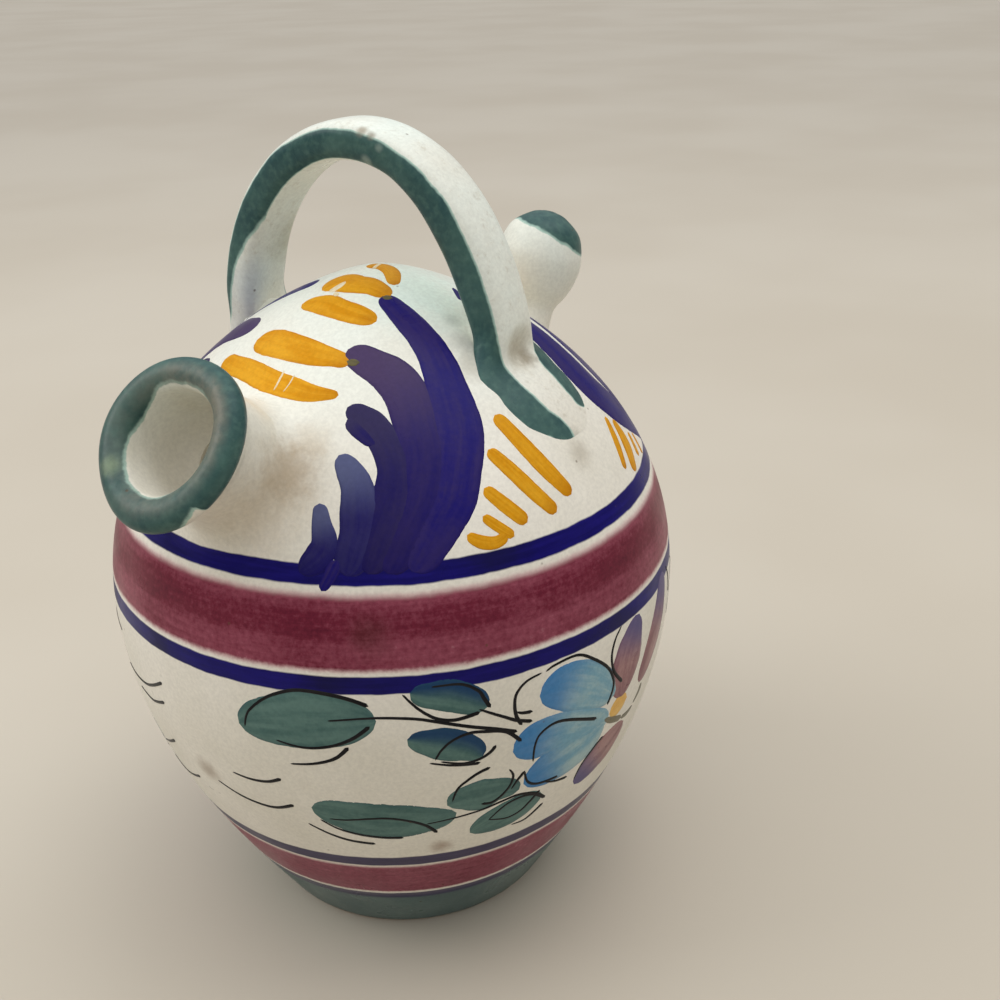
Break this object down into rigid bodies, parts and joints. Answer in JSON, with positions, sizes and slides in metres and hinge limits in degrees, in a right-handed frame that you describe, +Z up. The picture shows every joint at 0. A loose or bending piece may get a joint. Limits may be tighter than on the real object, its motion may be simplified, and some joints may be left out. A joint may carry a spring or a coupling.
{
  "type": "spanish botijo",
  "caption": "Round glazed earthenware water jug with an arched strap handle, a rimmed filling mouth and a bulbous drinking spout.",
  "frame": {"origin": "centre of the foot, on the plane that the jug rests on", "axes": "+Z up; the filling mouth points to -X, the drinking spout to +X, and the handle arches along Y"},
  "size_m": [0.1941, 0.182, 0.255],
  "materials": {
    "glazed_body": "hand-painted tin glaze, satin gloss",
    "bare_clay": "unglazed fired clay, matt"
  },
  "bodies": {
    "root": {"belly": "glazed_body", "shoulder": "glazed_body", "seam_coil": "bare_clay", "filling_mouth": "glazed_body", "mouth_luting_coil": "glazed_body", "drinking_spout": "glazed_body", "spout_luting_coil": "glazed_body", "handle": "glazed_body", "handle_foot_coil_front": "glazed_body", "handle_foot_coil_back": "glazed_body"}
  },
  "joints": []
}
